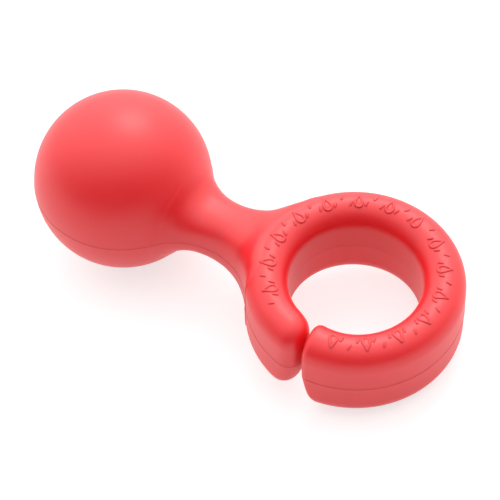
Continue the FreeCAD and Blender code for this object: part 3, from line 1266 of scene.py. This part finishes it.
@dataclass(frozen=True)
class Spring:
    """The C-shaped strip of spring steel inside the ring, with a rolled eye at each end.

    Angles are in degrees. `setback` is how far each eye lies from the middle of the mouth, and
    the strip rolls inwards through `eye_turn` while its radius shrinks by `eye_closing`.
    """

    planes: Planes
    material: Material
    thickness: float = 0.6 * MM
    width: float = 10 * MM
    bevel: float = 0.1 * MM
    pitch: float = 2
    setback: float = 14
    eye: float = 1.1 * MM
    eye_turn: float = 300
    eye_steps: int = 24
    eye_closing: float = 0.1
    crease: float = 30

    def centre_line(self, last: float, rolled: int) -> list[Span]:
        """Points of the strip's middle line in plan, from the ring's dividing plane.

        Args:
            last: Angle of the last point from +X, where the eye is.
            rolled: 1 where the eye follows an angle that rises and -1 where it falls.

        Returns:
            The points.
        """
        first = self.planes.arm_angle
        count = max(2, round(abs(last - first) / self.pitch))
        line = [self.planes.at(first + (last - first) * i / count)[:2] for i in range(count + 1)]
        turn = math.radians(last)
        reach = self.eye - self.thickness / 2
        out = np.array((math.cos(turn), math.sin(turn)))
        along = rolled * np.array((-out[1], out[0]))
        centre = np.array(line[-1]) - out * reach
        for share in np.arange(1, self.eye_steps + 1) / self.eye_steps:
            roll = math.radians(self.eye_turn) * share
            inward = reach * (1 - self.eye_closing * share)
            line.append(tuple(centre + inward * (math.cos(roll) * out + math.sin(roll) * along)))
        return line

    def strip(self, name: str, line: list[Span]) -> Object:
        """Sweep the strip's bevelled section along a line.

        Args:
            name: The piece's name.
            line: Points of the middle line in plan.

        Returns:
            The piece's object.
        """
        path = np.array(line)
        along = np.gradient(path, axis=0)
        along /= np.linalg.norm(along, axis=1, keepdims=True)
        across = np.stack((along[:, 1], -along[:, 0]), axis=1)
        half, side, cut = self.width / 2, self.thickness / 2, self.bevel
        section = [(side, cut - half), (side, half - cut), (side - cut, half), (cut - side, half)]
        section += [(-a, -z) for a, z in section]
        bm = bmesh.new()
        rings = [
            [bm.verts.new((*(point + out * a), z)) for a, z in section]
            for point, out in zip(path, across)
        ]
        sweep(bm, rings, closed=False)
        bmesh.ops.recalc_face_normals(bm, faces=bm.faces)
        return finish_object(name, bm, self.material, self.crease)

    def build(self) -> list[Object]:
        """Make both stretches of the strip, and hide the imported parts that they replace.

        Returns:
            The pieces.
        """
        back = self.strip("spring_strip_back", self.centre_line(270 - self.setback, 1))
        self.planes.bends[Region.BACK].apply(back)
        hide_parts("spring_base", "spring_back_bend", "spring_arm")
        front = self.strip("spring_strip_front", self.centre_line(self.setback - 90, -1))
        self.planes.bends[Region.FRONT].apply(front)
        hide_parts("spring_front_bend", "spring_jaw")
        return [back, front]


# Floor, light and camera


@dataclass(frozen=True)
class Viewpoint:
    """The camera, placed by its angles round the ring's centre."""

    azimuth: float = 33.946
    elevation: float = 53.185
    roll: float = 0.862
    distance: float = 510.6 * MM
    right: float = -20.453 * MM
    up: float = 9.463 * MM
    lens: float = 188.66

    def axes(self) -> tuple[Vector, Vector, Vector]:
        """Work out the camera's directions.

        Returns:
            Right, up and back.
        """
        turn, rise = math.radians(self.azimuth), math.radians(self.elevation)
        level = Vector((math.cos(turn), math.sin(turn), 0))
        flat = Vector((math.sin(turn), -math.cos(turn), 0))
        back = flat * math.cos(rise) + Vector((0, 0, math.sin(rise)))
        right = Matrix.Rotation(-math.radians(self.roll), 3, back) @ level
        return right, back.cross(right), back

    def build(self) -> None:
        """Make the camera and look through it."""
        right, up, back = self.axes()
        camera = bpy.data.cameras.new("camera")
        camera.lens = self.lens
        thing = bpy.data.objects.new("camera", camera)
        turn = Matrix((right, up, back)).transposed()
        place = right * self.right + up * self.up + back * self.distance
        thing.matrix_world = Matrix.Translation(place) @ turn.to_4x4()
        bpy.context.scene.collection.objects.link(thing)
        bpy.context.scene.camera = thing


@dataclass(frozen=True)
class SoftBox:
    """A soft lamp that shines on the middle of the object."""

    name: str
    direction: Point
    distance: float
    size: float
    power: float

    def build(self, target: Vector) -> None:
        """Hang the lamp, unseen by the camera.

        Args:
            target: The point that it shines on.
        """
        lamp = bpy.data.lights.new(self.name, "AREA")
        lamp.shape = "DISK"
        lamp.size = self.size
        lamp.energy = self.power
        thing = bpy.data.objects.new(self.name, lamp)
        way = Vector(self.direction).normalized()
        thing.location = target + way * self.distance
        thing.rotation_euler = way.to_track_quat("Z", "Y").to_euler()
        thing.visible_camera = False
        bpy.context.scene.collection.objects.link(thing)


@dataclass(frozen=True)
class Studio:
    """The pale floor, which the ball and the ring's far rim both rest on, and the soft light.

    The floor looks whiter than it lights the object: where it is seen, also in a mirror or
    through glass, it gives off `floor_lift`, and white washes over `floor_wash` of it. The sky
    brightens from `dim` to `bright` towards `bright_way`, over a span of cosines.
    """

    form: CoverForm
    floor_size: float = 6.0
    floor_shade: Colour = (0.95, 0.95, 0.95)
    floor_fleck: Colour = (0.931, 0.931, 0.931)
    flecks_per_metre: float = 400
    floor_lift: float = 0.28
    floor_wash: float = 0.55
    dim: float = 0.16
    bright: float = 1.9
    bright_way: Point = (-0.45, 0.58, 0.68)
    bright_span: Span = (-0.3, 0.95)
    horizon: Span = (0.02, -0.02)
    lamp: SoftBox = SoftBox(
        name="back_softbox", direction=(-0.25, 0.6, 0.75), distance=0.9, size=0.5, power=2.0
    )

    def rest_plane(self) -> tuple[Vector, float]:
        """Find the plane that the ball and the ring's far rim both touch.

        Returns:
            Its upward normal, and its height along that normal.
        """
        form = self.form
        straight = form.half_height - form.half_wall
        a = form.ring_middle - form.ball_x
        drop = form.ball_radius - form.half_wall
        tilt = math.asin(drop / math.hypot(a, straight)) - math.atan2(straight, a)
        normal = Vector((-math.sin(tilt), 0, math.cos(tilt)))
        return normal, -form.ball_x * math.sin(tilt) - form.ball_radius

    def floor_material(self) -> Material:
        """Make a pale matt floor, whitened where it is seen, and clear from beneath.

        Returns:
            The material.
        """
        material = bpy.data.materials.new("pale_floor")
        make = NodeMaker(material)
        rays = ("Is Camera Ray", "Is Glossy Ray", "Is Transmission Ray")
        camera, glossy, through = (make.add("ShaderNodeLightPath", output=ray) for ray in rays)
        seen = camera.combine("MAXIMUM", glossy).combine("MAXIMUM", through)
        dark, lift, white = (
            make.add("ShaderNodeEmission", inputs={"Strength": strength})
            for strength in (0.0, self.floor_lift, 1.0)
        )
        fleck = make.noise(make.place(), self.flecks_per_metre)
        shade = make.mix_colours(fleck, self.floor_fleck, self.floor_shade)
        matt = make.add("ShaderNodeBsdfDiffuse", inputs={"Color": shade})
        glow = make.mix_shaders(seen, dark, lift)
        lifted = make.add("ShaderNodeAddShader", inputs={0: matt, 1: glow})
        front = make.mix_shaders(self.floor_wash * seen, lifted, white)
        clear = make.add("ShaderNodeBsdfTransparent")
        behind = make.add("ShaderNodeNewGeometry", output="Backfacing")
        surface = make.mix_shaders(behind, front, clear)
        make.add("ShaderNodeOutputMaterial", inputs={"Surface": surface})
        return material

    def build_floor(self) -> None:
        """Lay the floor under the object."""
        normal, height = self.rest_plane()
        bm = bmesh.new()
        bmesh.ops.create_grid(bm, x_segments=8, y_segments=8, size=self.floor_size)
        turn = normal.to_track_quat("Z", "Y").to_matrix().to_4x4()
        bm.transform(Matrix.Translation(normal * height) @ turn)
        finish_object("floor", bm, self.floor_material())

    def build_world(self) -> None:
        """Light from all round, brightest from high behind, with white below the horizon."""
        world = bpy.data.worlds.new("studio")
        bpy.context.scene.world = world
        make = NodeMaker(world)
        way = make.add("ShaderNodeTexCoord", output="Generated")
        both = {0: way, 1: Vector(self.bright_way).normalized()}
        cosine = make.add("ShaderNodeVectorMath", {"operation": "DOT_PRODUCT"}, both, "Value")
        sky = make.ramp(cosine, self.bright_span, (self.dim, self.bright))
        height = make.add("ShaderNodeSeparateXYZ", inputs={0: way}, output="Z")
        below = make.ramp(height, self.horizon)
        white = {"Color": (1, 1, 1, 1), "Strength": sky + below * (1.0 - sky)}
        light = make.add("ShaderNodeBackground", inputs=white)
        make.add("ShaderNodeOutputWorld", inputs={"Surface": light})

    def build(self) -> None:
        """Set the floor, the lamp and the view transform."""
        self.build_floor()
        self.build_world()
        low, high = cad_box
        self.lamp.build((low + high) / 2)
        bpy.context.scene.view_settings.view_transform = "Standard"


def main() -> None:
    """Build the object and the studio in order, and report each piece."""
    logging.basicConfig(level=logging.INFO, format="%(name)s: %(message)s")
    form = CoverForm.from_frame()
    planes = Planes.from_frame(form)
    silicone = Silicone().build()
    rolled_steel = Steel("rolled_steel", stretch=(1.0, 1.0, 0.06)).build()
    turned_steel = Steel("turned_steel", stretch=(0.15, 1.0, 1.0)).build()
    for part in (
        Cover(form, planes, silicone),
        Relief(form, planes, silicone),
        Spring(planes, rolled_steel),
        Ballast(turned_steel),
    ):
        for piece in part.build():
            log.info("%s: %d faces", piece.name, len(piece.data.polygons))
    Viewpoint().build()
    Studio(form).build()


if __name__ == "__main__":
    main()
